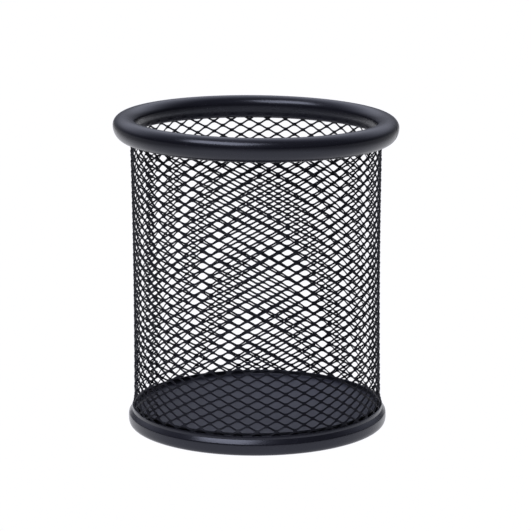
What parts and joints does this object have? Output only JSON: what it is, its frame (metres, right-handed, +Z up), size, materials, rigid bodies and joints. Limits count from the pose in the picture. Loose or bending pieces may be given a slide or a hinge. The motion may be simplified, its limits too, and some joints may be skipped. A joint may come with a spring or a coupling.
{
  "type": "pen cup",
  "caption": "Round upright pen cup of powder-coated expanded steel mesh, with a curled tubular rim, a rolled base ring and a sheet-steel floor.",
  "frame": {"origin": "centre of the circle that the base ring stands on, at desk level", "axes": "+Z up the cup's own axis, out of its mouth; -Y towards the viewer of the front, where the mesh's lapped seam is to the left; the cup is round, so X and Y are otherwise free"},
  "size_m": [0.091, 0.091, 0.1011],
  "materials": {
    "rim_coat": "satin black powder coat, slightly blue",
    "mesh_coat": "satin black powder coat on expanded mesh",
    "pan_coat": "satin black powder coat with a fine texture"
  },
  "bodies": {
    "root": {"top_rim": "rim_coat", "mesh_wall": "mesh_coat", "base_ring": "rim_coat", "floor_pan": "pan_coat"}
  },
  "joints": []
}
